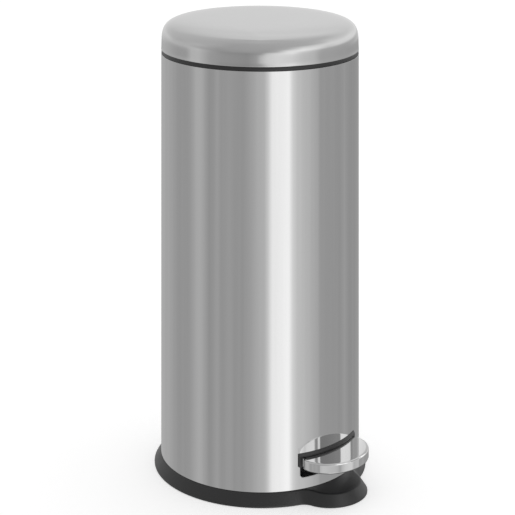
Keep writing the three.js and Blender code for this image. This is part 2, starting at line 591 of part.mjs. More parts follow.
function alongArc(radius, halfAngle, steps, sides) {
  const section = new THREE.Shape(arc(0, 0, radius, radius, 0, 2 * Math.PI, sides).slice(1));
  const extrudePath = new HangingArc(BAIL_RADIUS, halfAngle);
  return new THREE.ExtrudeGeometry(section, { steps, extrudePath, bevelEnabled: false });
}

function addBail() {
  const pinEnd = 125.6;
  const gripHalf = 0.45;
  const wire = joined(solid(alongArc(BAIL_WIRE, Math.PI / 2, 24, 8)),
    ...[1, -1].map((side) => solid(barX(BAIL_WIRE, Math.min(side * 107, side * pinEnd),
      Math.max(side * 107, side * pinEnd), 0, BAIL_Z, 12))));
  place('bail_wire', wire, ZINC_STEEL);
  const gripBore = solid(alongArc(BAIL_WIRE + GAP + 0.1, gripHalf + 0.1, 10, 8));
  place('bail_grip', cut(solid(alongArc(GRIP_RADIUS, gripHalf, 8, 12)), gripBore), BLACK_PLASTIC);
}

addBase();
addPivot();
addBody();
addRing();
addTrim();
addPedal();
addRod();
addHinge();
addLid();
addLidBracket();
addBucket();
addBail();

export default bin;
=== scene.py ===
"""A 30 litre steel pedal bin, drawn round its CAD frame, on a pale studio floor."""

import json
import math

import bmesh
import bpy
from mathutils import Matrix, Vector


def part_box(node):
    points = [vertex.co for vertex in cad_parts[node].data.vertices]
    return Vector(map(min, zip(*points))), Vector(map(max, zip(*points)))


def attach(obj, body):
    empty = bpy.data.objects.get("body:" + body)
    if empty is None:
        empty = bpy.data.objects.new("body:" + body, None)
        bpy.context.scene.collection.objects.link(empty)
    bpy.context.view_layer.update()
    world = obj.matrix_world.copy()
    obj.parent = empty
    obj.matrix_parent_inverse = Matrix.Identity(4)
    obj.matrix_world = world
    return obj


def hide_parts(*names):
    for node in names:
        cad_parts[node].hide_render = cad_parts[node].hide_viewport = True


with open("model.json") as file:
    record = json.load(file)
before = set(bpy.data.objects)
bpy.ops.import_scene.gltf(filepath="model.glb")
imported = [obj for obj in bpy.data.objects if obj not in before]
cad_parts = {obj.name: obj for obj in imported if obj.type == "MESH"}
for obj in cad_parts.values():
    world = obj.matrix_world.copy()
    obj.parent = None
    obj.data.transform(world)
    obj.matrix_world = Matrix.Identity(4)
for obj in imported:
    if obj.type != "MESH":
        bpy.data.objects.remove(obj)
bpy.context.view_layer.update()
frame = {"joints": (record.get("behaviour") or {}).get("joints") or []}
SCENE = bpy.context.scene
MM = 0.001
ROUND = 192                # facets round the large circles
SMALL_ROUND = 40           # facets round pins, screws and rods
REAR = math.pi / 2         # bearing of the hinge, seen from above, from +X
FRONT = -math.pi / 2


def low(node):
    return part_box(node)[0]


def high(node):
    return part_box(node)[1]


def middle(node):
    lowest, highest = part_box(node)
    return (lowest + highest) / 2


def joint_place(name):
    return Vector(next(joint for joint in frame["joints"] if joint["name"] == name)["pos_m"])


# ---- mesh tools ----


def make(name, verts, faces):
    mesh = bpy.data.meshes.new(name)
    mesh.from_pydata([tuple(v) for v in verts], [], faces)
    mesh.validate()
    obj = bpy.data.objects.new(name, mesh)
    SCENE.collection.objects.link(obj)
    return obj


def clean(obj, merge=1e-6):
    """Merges doubled points, closes up degenerate faces and turns every face outwards."""
    work = bmesh.new()
    work.from_mesh(obj.data)
    bmesh.ops.remove_doubles(work, verts=work.verts, dist=merge)
    bmesh.ops.dissolve_degenerate(work, edges=work.edges, dist=merge)
    bmesh.ops.recalc_face_normals(work, faces=work.faces)
    work.to_mesh(obj.data)
    work.free()
    return obj


def smooth(obj, degrees=32):
    for face in obj.data.polygons:
        face.use_smooth = True
    obj.data.set_sharp_from_angle(angle=math.radians(degrees))
    return obj


def apply_modifiers(obj):
    graph = bpy.context.evaluated_depsgraph_get()
    baked = bpy.data.meshes.new_from_object(obj.evaluated_get(graph))
    obj.modifiers.clear()
    old, obj.data = obj.data, baked
    bpy.data.meshes.remove(old)
    return obj


def bevel(obj, width, segments=3, degrees=35):
    modifier = obj.modifiers.new("edges", "BEVEL")
    modifier.width = width
    modifier.segments = segments
    modifier.limit_method = "ANGLE"
    modifier.angle_limit = math.radians(degrees)
    return apply_modifiers(obj)


def boolean(obj, others, operation="DIFFERENCE"):
    for other in others:
        modifier = obj.modifiers.new("cut", "BOOLEAN")
        modifier.operation = operation
        modifier.solver = "EXACT"
        modifier.object = other
    apply_modifiers(obj)
    for other in others:
        bpy.data.objects.remove(other)
    return obj


def join(first, *others):
    """One object holding the meshes of all, each keeping its own closed surface."""
    work = bmesh.new()
    for obj in (first, *others):
        work.from_mesh(obj.data)
    work.to_mesh(first.data)
    work.free()
    for obj in others:
        bpy.data.objects.remove(obj)
    return first


def rounded(corners, closed=False, steps=5):
    """A polyline through (x, y, radius) corners, each turned into an arc of its radius where it has one."""
    points = []
    count = len(corners)
    for i, (x, y, radius) in enumerate(corners):
        here = Vector((x, y))
        if radius <= 0 or (not closed and i in (0, count - 1)):
            points.append(here)
            continue
        to_last = (Vector(corners[i - 1][:2]) - here).normalized()
        to_next = (Vector(corners[(i + 1) % count][:2]) - here).normalized()
        half = to_last.angle(to_next) / 2
        centre = here + (to_last + to_next).normalized() * (radius / math.sin(half))
        start = here + to_last * (radius / math.tan(half)) - centre
        end = here + to_next * (radius / math.tan(half)) - centre
        turn = start.angle_signed(end)
        for step in range(steps + 1):
            angle = -turn * step / steps
            points.append(centre + Matrix.Rotation(angle, 2) @ start)
    return points


def lathe(name, profile, segments=ROUND):
    """A body of revolution about Z, from a closed run of (radius, height) points."""
    count = len(profile)
    verts = []
    for i in range(segments):
        angle = 2 * math.pi * i / segments
        verts += [(p[0] * math.cos(angle), p[0] * math.sin(angle), p[1]) for p in profile]
    faces = []
    for i in range(segments):
        a, b = i * count, ((i + 1) % segments) * count
        for j in range(count):
            k = (j + 1) % count
            faces.append((a + j, b + j, b + k, a + k))
    return clean(make(name, verts, faces))


def pillar(name, radius, bottom, top, edge=0.0, segments=SMALL_ROUND):
    """An upright round bar with softened ends."""
    side = [(0, bottom, 0), (radius, bottom, edge), (radius, top, edge), (0, top, 0)]
    return lathe(name, rounded(side), segments)


def moved(obj, x, y):
    obj.data.transform(Matrix.Translation((x, y, 0)))
    return obj


def turned_to(obj, axis, centre):
    """Turns an upright piece so that its +Z points along axis, and moves it to centre."""
    turn = Vector((0, 0, 1)).rotation_difference(Vector(axis)).to_matrix().to_4x4()
    obj.data.transform(Matrix.Translation(centre) @ turn)
    return obj


def stack(name, layers):
    """A solid through outlines of equal length, each (points, height), closed at both ends."""
    count = len(layers[0][0])
    verts = [(p[0], p[1], z) for points, z in layers for p in points]
    faces = [tuple(reversed(range(count))), tuple(range(len(verts) - count, len(verts)))]
    for layer in range(len(layers) - 1):
        a = layer * count
        for i in range(count):
            k = (i + 1) % count
            faces.append((a + i, a + k, a + k + count, a + i + count))
    return clean(make(name, verts, faces))


def slab(name, outline, axis, start, end):
    """A flat outline pushed along axis 0, 1 or 2. Its two coordinates are the other two axes, in order."""
    others = [i for i in range(3) if i != axis]
    verts = []
    for level in (start, end):
        for point in outline:
            place = [0.0, 0.0, 0.0]
            place[axis] = level
            place[others[0]], place[others[1]] = point[0], point[1]
            verts.append(place)
    count = len(outline)
    faces = [tuple(range(count)), tuple(range(2 * count - 1, count - 1, -1))]
    faces += [(i, (i + 1) % count, count + (i + 1) % count, count + i) for i in range(count)]
    return clean(make(name, verts, faces))


def block(name, lowest, highest):
    x0, y0, z0 = lowest
    x1, y1, z1 = highest
    return slab(name, [(x0, y0), (x1, y0), (x1, y1), (x0, y1)], 2, z0, z1)


def rear_cut(name, half, bottom, top, front=0.12):
    """A block that cuts a notch through the back of the bin."""
    return block(name, (-half, front, bottom), (half, 0.17, top))


def arc(cx, cy, rx, ry, start, end, steps):
    angles = [start + (end - start) * i / steps for i in range(steps + 1)]
    return [(cx + rx * math.cos(a), cy + ry * math.sin(a)) for a in angles]


def tube(name, path, radius, sides=16, closed=False):
    """A round bar along a path of points, with flat ends. The radius is one number or one for each point."""
    path = [Vector(p) for p in path]
    count = len(path)
    radii = radius if isinstance(radius, list) else [radius] * count
    verts, faces = [], []
    side = None
    for i, point in enumerate(path):
        ahead = path[(i + 1) % count] if closed or i + 1 < count else point
        behind = path[i - 1] if closed or i > 0 else point
        along = (ahead - behind).normalized()
        if side is None:
            side = along.orthogonal().normalized()
        side = (side - along * side.dot(along)).normalized()
        across = along.cross(side)
        for j in range(sides):
            angle = 2 * math.pi * j / sides
            verts.append(point + radii[i] * (math.cos(angle) * side + math.sin(angle) * across))
    for i in range(count if closed else count - 1):
        a, b = i * sides, ((i + 1) % count) * sides
        faces += [(a + j, a + (j + 1) % sides, b + (j + 1) % sides, b + j) for j in range(sides)]
    if not closed:
        faces += [tuple(reversed(range(sides))), tuple(range(len(verts) - sides, len(verts)))]
    return clean(make(name, verts, faces))


def finish_piece(obj, material, body, *nodes, degrees=32):
    """Shades a piece, gives it its material, and rides it on a body in place of the CAD nodes."""
    smooth(obj, degrees)
    obj.data.materials.clear()
    obj.data.materials.append(material)
    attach(obj, body)
    if nodes:
        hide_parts(*nodes)
    return obj


# ---- materials ----


class Tree:
    """A node tree with short calls for making and joining nodes."""

    def __init__(self, tree):
        self.tree = tree

    def node(self, kind, **settings):
        made = self.tree.nodes.new(kind)
        for key, value in settings.items():
            setattr(made, key, value)
        return made

    def link(self, source, target):
        self.tree.links.new(source, target)

    def feed(self, socket, value):
        """Links a socket's value in, or sets it where it is a plain number."""
        if isinstance(value, (int, float)):
            socket.default_value = value
        else:
            self.link(value, socket)

    def calculate(self, operation, *values):
        made = self.node("ShaderNodeMath", operation=operation)
        for socket, value in zip(made.inputs, values):
            self.feed(socket, value)
        return made.outputs[0]

    def mixed(self, factor, first, second):
        made = self.node("ShaderNodeMix", data_type="FLOAT")
        self.link(factor, made.inputs[0])
        self.feed(made.inputs[2], first)
        self.feed(made.inputs[3], second)
        return made.outputs[0]

    def ramp(self, source, lowest, highest, start=0.0, end=1.0):
        """Maps start to end onto lowest to highest, and holds the values beyond them."""
        made = self.node("ShaderNodeMapRange")
        made.inputs["From Min"].default_value = start
        made.inputs["From Max"].default_value = end
        made.inputs["To Min"].default_value = lowest
        made.inputs["To Max"].default_value = highest
        self.link(source, made.inputs["Value"])
        return made.outputs["Result"]

    def light_ramp(self, share, stops):
        """Light levels from (bearing in degrees, level) stops. A share of 0 to 1 is -180 to 180."""
        made = self.node("ShaderNodeValToRGB")
        elements = made.color_ramp.elements
        while len(elements) < len(stops):
            elements.new(0.5)
        for element, (degrees, level) in zip(elements, stops):
            element.position = (degrees + 180) / 360
            element.color = (level, level, level, 1)
        self.link(share, made.inputs["Fac"])
        return made.outputs["Color"]


class Nodes(Tree):
    """A material's node tree, with the patterns that the finishes share."""

    def __init__(self, name):
        self.material = bpy.data.materials.new(name)
        self.material.use_nodes = True
        super().__init__(self.material.node_tree)
        self.shader = self.tree.nodes["Principled BSDF"]
        self.place = self.tree.nodes.new("ShaderNodeTexCoord").outputs["Object"]

    def set(self, name, value):
        self.shader.inputs[name].default_value = value

    def noise(self, scale, detail=2.0, stretch=(1, 1, 1)):
        mapping = self.node("ShaderNodeMapping")
        mapping.inputs["Scale"].default_value = stretch
        self.link(self.place, mapping.inputs["Vector"])
        made = self.node("ShaderNodeTexNoise")
        made.inputs["Scale"].default_value = scale
        made.inputs["Detail"].default_value = detail
        self.link(mapping.outputs["Vector"], made.inputs["Vector"])
        return made.outputs["Fac"]

    def tint(self, source, dark, light):
        made = self.node("ShaderNodeMix", data_type="RGBA")
        made.inputs[6].default_value = (*dark, 1)
        made.inputs[7].default_value = (*light, 1)
        self.link(source, made.inputs[0])
        self.link(made.outputs[2], self.shader.inputs["Base Color"])

    def bump(self, source, depth, distance):
        made = self.node("ShaderNodeBump")
        made.inputs["Strength"].default_value = depth
        made.inputs["Distance"].default_value = distance
        self.link(source, made.inputs["Height"])
        self.link(made.outputs["Normal"], self.shader.inputs["Normal"])

    def roughness(self, source):
        self.link(source, self.shader.inputs["Roughness"])


def sheet_steel(name, level, rough, grain, bands=(5, (1, 1, 1))):
    """Stainless sheet: a fine grain, faint bands or clouds from rolling, and a varied sheen."""
    nodes = Nodes(name)
    nodes.set("Metallic", 1.0)
    fine = nodes.noise(900, 3, grain)
    cloud = nodes.ramp(nodes.noise(9, 2), rough - 0.015, rough + 0.02, 0.3, 0.7)
    nodes.roughness(nodes.calculate("ADD", nodes.ramp(fine, -0.012, 0.012), cloud))
    band = nodes.ramp(nodes.noise(bands[0], 4, bands[1]), 0, 1, 0.3, 0.7)
    nodes.tint(band, (level * 0.965,) * 3, (level * 1.03,) * 3)
    nodes.bump(fine, 0.02, 0.2 * MM)
    return nodes.material


def plated_steel(name):
    """Dull zinc plating with a mottled spangle."""
    nodes = Nodes(name)
    nodes.set("Metallic", 1.0)
    spangle = nodes.node("ShaderNodeTexVoronoi")
    spangle.inputs["Scale"].default_value = 260
    nodes.link(nodes.place, spangle.inputs["Vector"])
    nodes.tint(spangle.outputs["Distance"], (0.36, 0.37, 0.385), (0.52, 0.53, 0.54))
    nodes.roughness(nodes.ramp(nodes.noise(70, 3), 0.28, 0.5, 0.3, 0.7))
    nodes.bump(nodes.noise(500, 2), 0.12, 0.2 * MM)
    return nodes.material


def moulded_plastic(name, dark, light, rough, texture=1400, depth=0.16):
    """Moulded plastic: a spark-eroded texture, slight sheen changes, and dust in the roughness."""
    nodes = Nodes(name)
    nodes.set("IOR", 1.5)
    pits = nodes.noise(texture, 2)
    dust = nodes.ramp(nodes.noise(22, 2), rough - 0.03, rough + 0.05, 0.3, 0.7)
    nodes.tint(nodes.noise(14, 3), dark, light)
    nodes.roughness(nodes.calculate("ADD", nodes.ramp(pits, -0.05, 0.05), dust))
    nodes.bump(pits, depth, 0.3 * MM)
    return nodes.material


def rubber_finish(name):
    """Dull black rubber with a fine bloom."""
    nodes = Nodes(name)
    nodes.set("Specular IOR Level", 0.3)
    nodes.tint(nodes.noise(40, 3), (0.012, 0.012, 0.012), (0.03, 0.03, 0.029))
    nodes.roughness(nodes.ramp(nodes.noise(300, 2), 0.7, 0.9))
    nodes.bump(nodes.noise(1800, 2), 0.25, 0.3 * MM)
    return nodes.material


STEEL = 0.6                # the sheet's mirror level: white reflects as a light grey
BODY_STEEL = sheet_steel("body_steel", STEEL, 0.045, (1, 1, 0.05), (90, (1, 1, 0.012)))
LID_STEEL = sheet_steel("lid_steel", STEEL, 0.06, (1, 1, 1))
PEDAL_STEEL = sheet_steel("pedal_steel", STEEL * 1.1, 0.035, (1, 1, 1))
ZINC = plated_steel("zinc_plate")
BLACK = moulded_plastic("black_plastic", (0.014, 0.014, 0.0145), (0.021, 0.021, 0.0215), 0.38)
BUCKET = moulded_plastic("bucket_plastic", (0.035, 0.036, 0.038), (0.05, 0.051, 0.054), 0.46, 900, 0.1)
RUBBER = rubber_finish("black_rubber")


# ---- body ----

BODY_LOW, BODY_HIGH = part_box("outer_body")
BODY_RADIUS = BODY_HIGH.x
SHEET = 0.6 * MM
GAP = 0.3 * MM             # between pieces that meet
INSIDE = BODY_RADIUS - SHEET - GAP   # radius of what fits inside the wall
FRONT_CUT = (-200 * MM, -100 * MM)   # where a cut through the front wall starts and ends
ABOVE_RING = 620 * MM
SLOT_HALF = 54.4 * MM
SLOT_LOW = 33 * MM
SLOT_HIGH = 64 * MM
SLOT_CORNER = 5 * MM
ROLL = 0.9 * MM            # radius of the slot's rolled edge
ROLL_PROUD = 0.4 * MM
SEAM_HALF = 4 * MM
SEAM_PROUD = 0.45 * MM


def slot_outline(grow=0.0):
    """The pedal's slot as (x, z) points, square above and round in its two lower corners."""
    half, lowest = SLOT_HALF + grow, SLOT_LOW - grow
    return rounded([(-half, SLOT_HIGH + grow, 0), (-half, lowest, SLOT_CORNER + grow),
                    (half, lowest, SLOT_CORNER + grow), (half, SLOT_HIGH + grow, 0)], closed=True, steps=8)


def on_front(x, z, radius):
    return (x, -math.sqrt(radius * radius - x * x), z)


def round_shading(obj, radius, slack=1 * MM):
    """Shades the faces on a cylinder about Z as one smooth round wall, whatever was cut out of it."""
    mesh = obj.data
    normals = []
    for face in mesh.polygons:
        outward = Vector((face.center.x, face.center.y, 0)).normalized()
        on_wall = abs(face.normal.dot(outward)) > 0.98
        side = 1 if face.normal.dot(outward) > 0 else -1
        for vert in face.vertices:
            place = mesh.vertices[vert].co
            flat = Vector((place.x, place.y, 0))
            round_here = on_wall and abs(flat.length - radius) < slack
            normals.append(flat.normalized() * side if round_here else face.normal)
    mesh.normals_split_custom_set(normals)


def build_body():
    """The steel wall, with the pedal's slot in front and a notch for the lid's crank at the back."""
    inner = BODY_RADIUS - SHEET
    wall = rounded([(inner, BODY_LOW.z, 0.2 * MM), (BODY_RADIUS, BODY_LOW.z, 0.2 * MM),
                    (BODY_RADIUS, BODY_HIGH.z, 0.25 * MM), (inner, BODY_HIGH.z, 0.25 * MM)],
                   closed=True, steps=2)
    body = lathe("body_shell", wall, 256)
    slot = slab("slot_cut", slot_outline(), 1, *FRONT_CUT)
    boolean(body, [slot, rear_cut("crank_cut", 13 * MM, 586 * MM, ABOVE_RING)])
    finish_piece(body, BODY_STEEL, "bin", "outer_body", degrees=40)
    round_shading(body, BODY_RADIUS)


def build_slot_hem():
    """The slot's bare edge is turned inwards, in a thin roll below the trim."""
    outline = slot_outline(0.1 * MM)
    path = []
    for i, start in enumerate(outline):
        end = outline[(i + 1) % len(outline)]
        pieces = max(1, int((end - start).length / (3 * MM)))
        path += [start.lerp(end, k / pieces) for k in range(pieces)]
    radius = BODY_RADIUS - ROLL + ROLL_PROUD
    hem = tube("slot_hem", [on_front(p[0], p[1], radius) for p in path], ROLL, 12, closed=True)
    finish_piece(hem, BODY_STEEL, "bin", degrees=60)


def build_body_seam():
    """The sheet's ends lap at the back, in a low standing seam."""
    spots = rounded([(-SEAM_HALF, 0, 0), (-SEAM_HALF, SEAM_PROUD, 0.3 * MM),
                     (SEAM_HALF, SEAM_PROUD, 0.3 * MM), (SEAM_HALF, 0, 0)], steps=3)
    outline = []
    for along, proud in spots:
        radius, angle = BODY_RADIUS - 0.05 * MM + proud, REAR + along / BODY_RADIUS
        outline.append((radius * math.cos(angle), radius * math.sin(angle)))
    seam = slab("body_seam", outline, 2, BODY_LOW.z + 1 * MM, low("hinge_housing").z - 0.5 * MM)
    finish_piece(seam, BODY_STEEL, "bin", degrees=50)


# ---- rim ring ----


def build_ring():
    """The black ring on the body's top edge: a band, and a skirt inside the wall."""
    lowest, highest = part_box("rim_ring")
    outer, inner = BODY_RADIUS - GAP, 127 * MM
    skirt = INSIDE - 2.6 * MM
    band = BODY_HIGH.z + GAP
    profile = rounded([(inner, band, 0.5 * MM), (skirt, band, 0.6 * MM), (skirt, lowest.z, 0.5 * MM),
                       (INSIDE, lowest.z, 0.5 * MM), (INSIDE, band, 0), (outer, band, 0.5 * MM),
                       (outer, highest.z, 0.9 * MM), (inner, highest.z, 0.6 * MM)], closed=True, steps=4)
    ring = lathe("rim_ring_moulding", profile)
    below_skirt = lowest.z - 5 * MM
    boolean(ring, [rear_cut("crank_gap", 14 * MM, below_skirt, ABOVE_RING, front=0.11),
                   rear_cut("housing_gap", 31 * MM, below_skirt, band - 2 * MM)])
    finish_piece(ring, BLACK, "bin", "rim_ring", degrees=40)


# ---- lid ----

LID_LOW, LID_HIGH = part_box("lid_shell")
SHOULDER_Z = 612.3 * MM    # where the lid's upright wall ends and its shoulder starts
FLATNESS = 9.2
ROUNDNESS = 3.8
LID_RISE = LID_HIGH.z - SHOULDER_Z
LID_LEAN = 0.4 * MM        # how far the wall leans in
LEAN_HEIGHT = 14 * MM      # and over what height
LID_BEAD = 0.12 * MM       # how far its hem stands out
LINER_WALL = 1.8 * MM


def dome_height(share, rise):
    """How far a dome stands above its shoulder, at a share of its radius."""
    return rise * (1 - share ** FLATNESS) ** (1 / ROUNDNESS)


def dome(reach, rise, steps=44):
    """The lid's face from its wall up to its centre, as (radius, height)."""
    points = []
    for i in range(steps + 1):
        share = 1 - (i / steps) ** 2.4
        height = SHOULDER_Z + dome_height(share, rise)
        lean = LID_LEAN * min((height - LID_LOW.z) / LEAN_HEIGHT, 1)
        points.append(((reach - lean) * share, height))
    return points


def lid_notch():
    """Room for the hinge's ears, at the back of the lid's wall."""
    return rear_cut("lid_cut", 21.5 * MM, 600 * MM, 617 * MM)


def build_lid():
    outer = dome(BODY_RADIUS, LID_RISE)
    inner = dome(BODY_RADIUS - SHEET, LID_RISE - SHEET)
    hem = rounded([(BODY_RADIUS - SHEET, LID_LOW.z + 1 * MM, 0),
                   (BODY_RADIUS - SHEET, LID_LOW.z, 0.25 * MM),
                   (BODY_RADIUS + LID_BEAD, LID_LOW.z, 0.25 * MM),
                   (BODY_RADIUS, LID_LOW.z + 1.2 * MM, 0)], steps=4)
    lid = boolean(lathe("lid_dome", hem + outer + list(reversed(inner))), [lid_notch()])
    finish_piece(lid, LID_STEEL, "lid", "lid_shell", degrees=40)


def build_lid_liner():
    """A plastic dome inside the steel one, with three round ribs underneath."""
    rise = LID_RISE - SHEET - GAP
    shell = dome(INSIDE, rise)
    hollow = dome(INSIDE - LINER_WALL, rise - LINER_WALL)
    bottom = low("lid_liner").z
    profile = [(INSIDE - LINER_WALL, bottom), (INSIDE, bottom)] + shell + list(reversed(hollow))
    liner = boolean(lathe("lid_inner_cover", profile), [lid_notch()])
    ribs = []
    for radius in (40 * MM, 75 * MM, 105 * MM):
        height = SHOULDER_Z + dome_height(radius / INSIDE, rise - LINER_WALL)
        top, tip = height + 0.4 * MM, height - 3 * MM
        section = rounded([(radius - 1 * MM, top, 0), (radius - 0.8 * MM, tip, 0.5 * MM),
                           (radius + 0.8 * MM, tip, 0.5 * MM), (radius + 1 * MM, top, 0)],
                          closed=True, steps=3)
        ribs.append(lathe("liner_rib", section))
    join(liner, *ribs)
    finish_piece(liner, BLACK, "lid", "lid_liner", degrees=40)


def build_lid_buffers():
    for i in range(3):
        name = f"lid_buffer_{i + 1}"
        lowest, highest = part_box(name)
        radius = (highest.x - lowest.x) / 2
        stud = pillar(name + "_stud", radius, lowest.z, highest.z, 0.6 * MM, 24)
        place = middle(name)
        finish_piece(moved(stud, place.x, place.y), RUBBER, "lid", name)


# ---- base ----

BASE_RADIUS = high("base").x
BASE_TOP = 17.6 * MM
BASE_EDGE = 3.5 * MM
BASE_FLOOR = 4 * MM
BELOW_BASE = -10 * MM
BASE_FLARE = 9.3 * MM
BASE_BOTTOM = 0.4 * MM     # the moulding stands this far off the floor, on its pads
LOBE_CENTRE = 145.2 * MM
LOBE_HALF = 52.5 * MM
LOBE_DEPTH = 46.5 * MM
LOBE_FILLET = 20 * MM
LOBE_FALL = 3 * MM         # how far the lobe's top drops towards its front


def base_outline(inset):
    """The base's outline moved in by inset: a circle, half an ellipse in front, and two fillets."""
    radius, a, b = BASE_RADIUS - inset, LOBE_HALF - inset, LOBE_DEPTH - inset
    fillet = LOBE_FILLET + inset

    def fillet_centre(angle):
        normal = Vector((math.cos(angle) / a, math.sin(angle) / b)).normalized()
        return Vector((a * math.cos(angle), b * math.sin(angle) - LOBE_CENTRE)) + normal * fillet

    lowest, highest = -0.8, 0.0
    for _ in range(40):
        angle = (lowest + highest) / 2
        if fillet_centre(angle).length > radius + fillet:
            lowest = angle
        else:
            highest = angle
    centre = fillet_centre(lowest)
    to_circle = math.atan2(-centre.y, -centre.x)
    to_lobe = math.atan2(b * math.sin(lowest) - LOBE_CENTRE - centre.y, a * math.cos(lowest) - centre.x)
    if to_lobe > 0:
        to_lobe -= 2 * math.pi
    right = arc(0, -LOBE_CENTRE, a, b, FRONT, lowest, 40)[1:]
    right += arc(centre.x, centre.y, fillet, fillet, to_lobe, to_circle - 2 * math.pi, 12)[1:]
    right += arc(0, 0, radius, radius, to_circle - math.pi, REAR, 90)[1:-1]
    left = [(-x, y) for x, y in reversed(right)]
    return [(0, -LOBE_CENTRE - b)] + right + [(0, radius)] + left


def dome_lobe(base):
    """Lets the lobe's top fall away from the body in a shallow curve."""
    reach = LOBE_CENTRE + LOBE_DEPTH - BODY_RADIUS
    for vert in base.data.vertices:
        away = max(0, math.hypot(vert.co.x, vert.co.y) - BODY_RADIUS) / reach
        vert.co.z -= LOBE_FALL * away ** 1.6 * vert.co.z / BASE_TOP


def base_solid():
    """The foot ring with its flared skirt and its lobe, before anything is cut out of it."""
    side = rounded([(1.2 * MM, BASE_BOTTOM, 0), (0, BASE_BOTTOM, 0.8 * MM), (0, BASE_EDGE, 3 * MM),
                    (BASE_FLARE, BASE_TOP, 3.9 * MM), (BASE_FLARE + 3 * MM, BASE_TOP, 0)], steps=7)
    top = [(BASE_FLARE + inset * MM, BASE_TOP) for inset in (6, 10, 15, 21)]
    base = stack("base_moulding", [(base_outline(p[0]), p[1]) for p in side + top])
    dome_lobe(base)
    inner = BASE_RADIUS - BASE_FLARE - 4.5 * MM
    return boolean(base, [pillar("base_hollow", inner, BASE_FLOOR, 60 * MM, 0, ROUND)])


def build_base():
    base = base_solid()
    thin, foot, top = INSIDE - 2.5 * MM, BASE_FLOOR - 0.1 * MM, high("base").z
    spigot = rounded([(thin, foot, 0), (INSIDE, foot, 0), (INSIDE, top, 0.8 * MM), (thin, top, 0.8 * MM)],
                     closed=True, steps=3)
    boolean(base, [lathe("spigot", spigot)], "UNION")
    cuts = []
    for i in range(5):
        lowest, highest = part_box(f"foot_pad_{i + 1}")
        place = middle(f"foot_pad_{i + 1}")
        radius = (highest.x - lowest.x) / 2 + GAP
        cuts.append(moved(pillar("recess", radius, BELOW_BASE, highest.z + GAP), place.x, place.y))
    for i in range(4):
        place = middle(f"bracket_screw_{i + 1}")
        cuts.append(moved(pillar("sink", 4.6 * MM, BELOW_BASE, 2.7 * MM), place.x, place.y))
    boolean(base, cuts)
    finish_piece(base, BLACK, "bin", "base", degrees=38)
    base.visible_glossy = False    # the steel above it mirrors the pale floor instead


def build_foot_pads():
    """Rubber discs with a raised middle ring and a raised outer ring underneath."""
    step, edge = 0.35 * MM, 0.2 * MM
    for i in range(5):
        node = f"foot_pad_{i + 1}"
        lowest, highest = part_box(node)
        radius = (highest.x - lowest.x) / 2
        pad = lathe(node + "_disc", rounded([
            (0, step, 0), (radius * 0.3, step, edge), (radius * 0.34, 0, edge), (radius * 0.6, 0, edge),
            (radius * 0.64, step, edge), (radius * 0.72, step, edge), (radius * 0.76, 0, edge),
            (radius, 0, 0.4 * MM), (radius, highest.z, 0.3 * MM), (0, highest.z, 0)]), SMALL_ROUND)
        place = middle(node)
        finish_piece(moved(pad, place.x, place.y), RUBBER, "bin", node)
        pad.visible_glossy = False


# ---- pedal ----

PEDAL_LOW, PEDAL_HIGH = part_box("pedal_cover")
PEDAL_HALF = PEDAL_HIGH.x
PEDAL_CENTRE = 145.5 * MM
PEDAL_DEPTH = 46.5 * MM
PEDAL_EDGE = 2.5 * MM
PEDAL_SHEET = 1.2 * MM
PEDAL_CORNER = 5 * MM
NECK_HALF = 50.5 * MM


def pedal_outline(inset):
    """The pedal's outline moved in by inset: half an ellipse in front, round corners, and a neck behind."""
    rear = PEDAL_HIGH.y
    half, depth, corner = PEDAL_HALF - inset, PEDAL_DEPTH - inset, PEDAL_CORNER - inset
    neck = NECK_HALF - inset
    neck_front = PEDAL_CORNER + 1.5 * MM - PEDAL_CENTRE
    right = arc(0, -PEDAL_CENTRE, half, depth, FRONT, 0, 56)[1:]
    right += arc(half - corner, -PEDAL_CENTRE, corner, corner, 0, REAR, 10)[1:]
    right += [(neck, neck_front - inset), (neck, rear - inset)]
    left = [(-x, y) for x, y in reversed(right)]
    return [(0, -PEDAL_CENTRE - depth)] + right + left


def pedal_stack(name, layers):
    """A solid with the pedal's outline, from (inset, height) layers."""
    return stack(name, [(pedal_outline(inset), height) for inset, height in layers])


def build_pedal():
    """The polished pressing: a flat top with a rounded edge, hollow below, open behind for the lever."""
    top, rim, rear = PEDAL_HIGH.z, PEDAL_LOW.z, PEDAL_HIGH.y
    inset = PEDAL_EDGE + 2 * MM
    edge = rounded([(0, rim + 1 * MM, 0), (0, top, PEDAL_EDGE), (inset, top, 0)], steps=10)
    cover = pedal_stack("pedal_pressing", [(PEDAL_SHEET, rim + 0.3 * MM), (0.3 * MM, rim),
                                           (0, rim + 0.4 * MM)] + edge)
    ceiling = top - PEDAL_SHEET
    inside = rounded([(PEDAL_SHEET, rim - 1 * MM, 0), (PEDAL_SHEET, ceiling, 1.4 * MM),
                      (inset, ceiling, 0)], steps=5)
    opening = block("pedal_opening", (-22 * MM, rear - 3 * MM, rim - 1 * MM),
                    (22 * MM, rear + 3 * MM, 56 * MM))
    boolean(cover, [pedal_stack("pedal_hollow", inside), opening])
    finish_piece(cover, PEDAL_STEEL, "pedal", "pedal_cover", degrees=40)


def build_pedal_core():
    """The plastic filler and its lip, a dark line below the steel rim: partly the filler's edge, partly
    painted shade under the rim.
    """
    lowest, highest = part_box("pedal_core")
    inset, rim = PEDAL_HALF - highest.x, PEDAL_LOW.z
    layers = rounded([(inset + 0.6 * MM, lowest.z, 0), (inset, lowest.z + 0.6 * MM, 0),
                      (inset, highest.z, 0)])
    core = pedal_stack("pedal_filler", layers)
    # The black lip below the rim is partly the filler's edge and partly painted shade: it draws the dark
    # line under the steel rim.
    lip_and_shade = pedal_stack("pedal_lip_and_shade", [(0.9 * MM, rim - 1 * MM), (0.4 * MM, rim - 0.5 * MM),
                                    (0.4 * MM, rim + 0.4 * MM)])
    middle_hole = pedal_stack("lip_hole", [(3 * MM, rim - 3 * MM), (3 * MM, rim + 3 * MM)])
    join(core, boolean(lip_and_shade, [middle_hole]))
    finish_piece(core, BLACK, "pedal", "pedal_core")


# ---- trim round the slot ----

